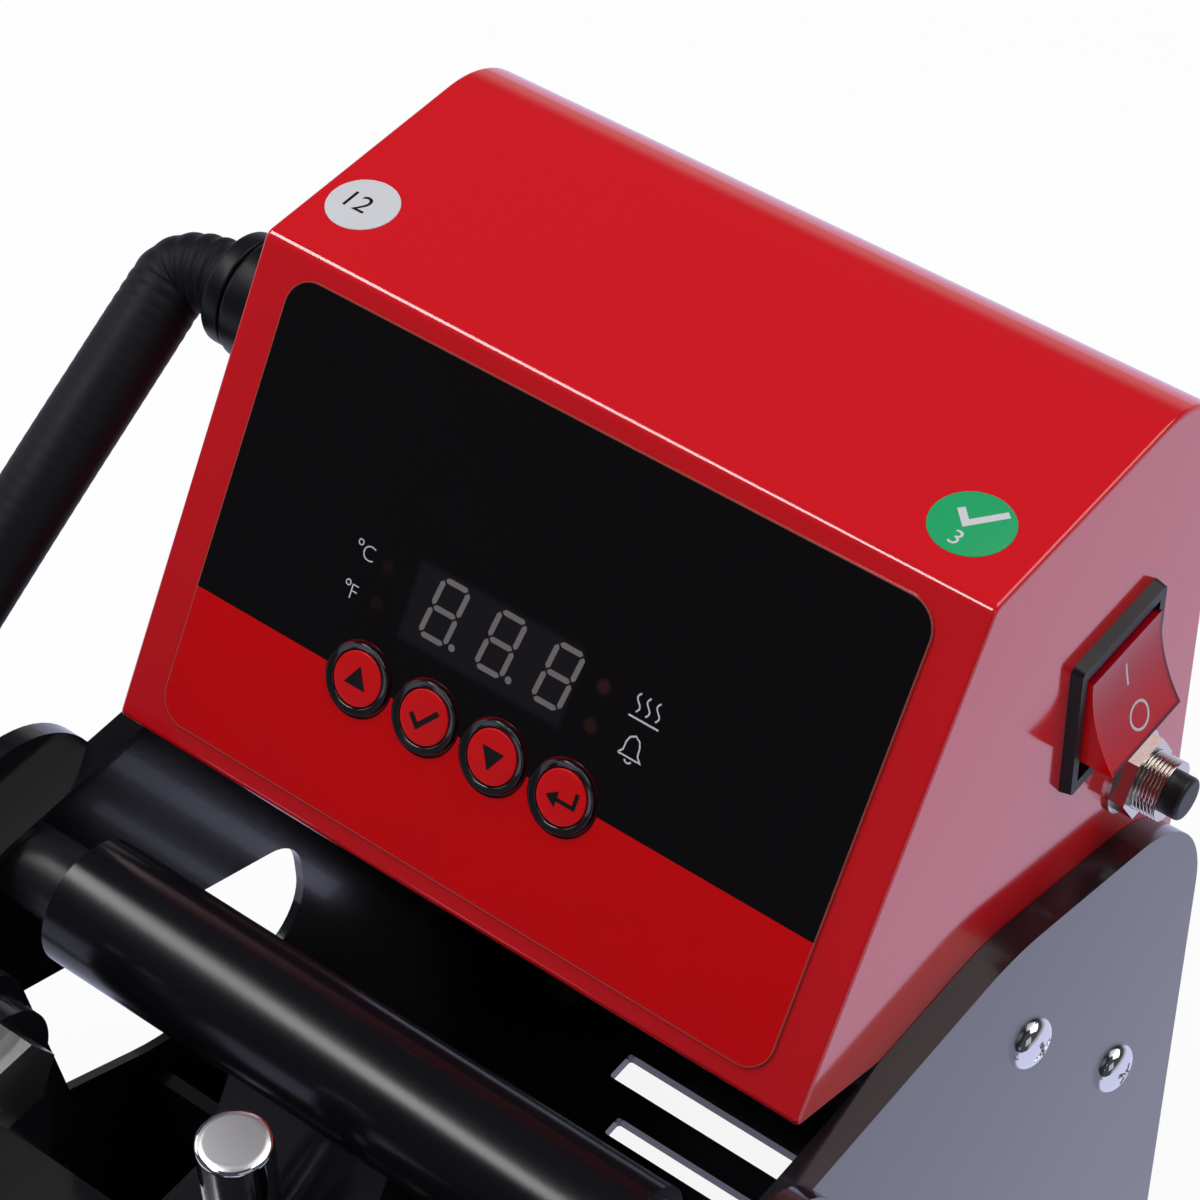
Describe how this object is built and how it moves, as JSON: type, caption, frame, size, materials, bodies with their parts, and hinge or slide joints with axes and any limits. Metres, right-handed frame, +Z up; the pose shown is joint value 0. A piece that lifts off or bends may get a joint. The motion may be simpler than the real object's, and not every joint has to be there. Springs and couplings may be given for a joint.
{
  "type": "clamshell heat press",
  "caption": "Clamshell cap press: curved heated platen on a hinged jaw, toggle links, one side lever, pressure screw, sloped red control box with hose, rocker switch and breaker.",
  "frame": {"origin": "centre of the footprint, on the table", "axes": "+Z up, +Y to the back of the press, +X to the right seen from the front"},
  "size_m": [0.238, 0.4393, 0.2703],
  "materials": {
    "black_paint": "satin powder coat",
    "red_paint": "gloss powder coat",
    "dark_steel": "oiled steel",
    "bright_steel": "polished",
    "zinc": "zinc plated",
    "brass_nickel": "nickel plated",
    "aluminium": "cast and machined",
    "bronze": "sintered bronze",
    "foot_rubber": "matt",
    "grip_foam": "foam",
    "red_silicone": "silicone sponge",
    "wool": "ceramic fibre",
    "black_plastic": "moulded",
    "hose_plastic": "corrugated nylon",
    "panel_film": "printed film, black above and red below",
    "red_plastic": "moulded",
    "display_plastic": "dark window",
    "lamp_plastic": "clear lens",
    "board": "glass epoxy"
  },
  "bodies": {
    "frame": {"left_side_plate": "black_paint", "right_side_plate": "black_paint", "base_plate": "black_paint", "bulkhead": "black_paint", "lower_bracket": "black_paint", "rear_cover": "black_paint", "rear_tie_bar": "zinc", "hinge_shaft": "zinc", "hinge_spacers": "dark_steel", "hinge_nuts": "zinc", "lever_bushes": "bronze", "rubber_feet": "foot_rubber", "foot_screws": "zinc", "plate_screws": "bright_steel", "lower_platen": "aluminium", "silicone_pad": "red_silicone", "platen_bolt": "zinc", "box_shell": "red_paint", "left_end_panel": "red_paint", "right_end_panel": "red_paint", "power_relay_and_transformer": "black_plastic", "panel_overlay": "panel_film", "button_rings": "black_plastic", "display_module": "display_plastic", "status_lamps": "lamp_plastic", "control_board": "board", "rocker_switch_body": "black_plastic", "breaker_body": "brass_nickel", "breaker_nut": "brass_nickel", "hose_gland": "black_plastic", "power_inlet": "black_plastic", "heater_hose": "hose_plastic"},
    "jaw": {"hinge_tube": "black_paint", "hinge_bushes": "bronze", "jaw_beam": "black_paint", "jaw_yoke": "black_paint", "jaw_pins": "zinc"},
    "heated_platen": {"platen_carrier": "black_paint", "guide_post": "bright_steel", "carrier_screws": "zinc", "platen_cover": "black_paint", "heater_block": "aluminium", "insulation": "wool", "platen_gland": "black_plastic"},
    "adjuster": {"pressure_knob": "black_plastic"},
    "lever": {"lever_shaft": "zinc", "cranks": "black_paint", "crank_pins": "zinc", "lever_arm": "black_paint", "handle_grip": "grip_foam"},
    "links": {"left_link": "black_paint", "right_link": "black_paint", "link_bolts": "zinc"},
    "power_rocker": {"rocker": "red_plastic"},
    "breaker_reset": {"breaker_button": "black_plastic"},
    "key_up": {"button_up": "red_plastic"},
    "key_ok": {"button_ok": "red_plastic"},
    "key_down": {"button_down": "red_plastic"},
    "key_enter": {"button_enter": "red_plastic"}
  },
  "joints": [
    {"name": "lever_turn", "type": "hinge", "parent": "frame", "child": "lever", "pos_m": [0, 0.05135, 0.07351], "axis": [-1, 0, 0], "range_deg": [0, 90]},
    {"name": "jaw_turn", "type": "hinge", "parent": "frame", "child": "jaw", "pos_m": [0, 0.0692, 0.172], "axis": [-1, 0, 0], "range_deg": [0, 33.5], "deforming": ["heater_hose"]},
    {"name": "link_turn", "type": "hinge", "parent": "lever", "child": "links", "pos_m": [0, 0.0562, 0.05], "axis": [-1, 0, 0], "range_deg": [-73.5, 0]},
    {"name": "platen_lift", "type": "slide", "parent": "jaw", "child": "heated_platen", "axis": [0, 0, 1], "range_m": [0, 0.0041]},
    {"name": "knob_turn", "type": "hinge", "parent": "jaw", "child": "adjuster", "pos_m": [0, -0.0358, 0.19], "axis": [0, 0, -1], "range_deg": [0, 720]},
    {"name": "rocker_tip", "type": "hinge", "parent": "frame", "child": "power_rocker", "pos_m": [0.0753, 0.1853, 0.2175], "axis": [0, 1, 0], "range_deg": [0, 32]},
    {"name": "breaker_press", "type": "slide", "parent": "frame", "child": "breaker_reset", "axis": [-1, 0, 0], "range_m": [0, 0.002], "stiffness_N_per_m": 500},
    {"name": "press_up", "type": "slide", "parent": "frame", "child": "key_up", "axis": [0, 0.8408, -0.5413], "range_m": [0, 0.001], "stiffness_N_per_m": 300},
    {"name": "press_ok", "type": "slide", "parent": "frame", "child": "key_ok", "axis": [0, 0.8408, -0.5413], "range_m": [0, 0.001], "stiffness_N_per_m": 300},
    {"name": "press_down", "type": "slide", "parent": "frame", "child": "key_down", "axis": [0, 0.8408, -0.5413], "range_m": [0, 0.001], "stiffness_N_per_m": 300},
    {"name": "press_enter", "type": "slide", "parent": "frame", "child": "key_enter", "axis": [0, 0.8408, -0.5413], "range_m": [0, 0.001], "stiffness_N_per_m": 300}
  ],
  "couplings": [
    {"joint": "jaw_turn", "follows": "lever_turn", "ratio": 0.3717},
    {"joint": "link_turn", "follows": "lever_turn", "ratio": -0.8159},
    {"joint": "platen_lift", "follows": "knob_turn", "m_per_rad": 0.00031831}
  ]
}
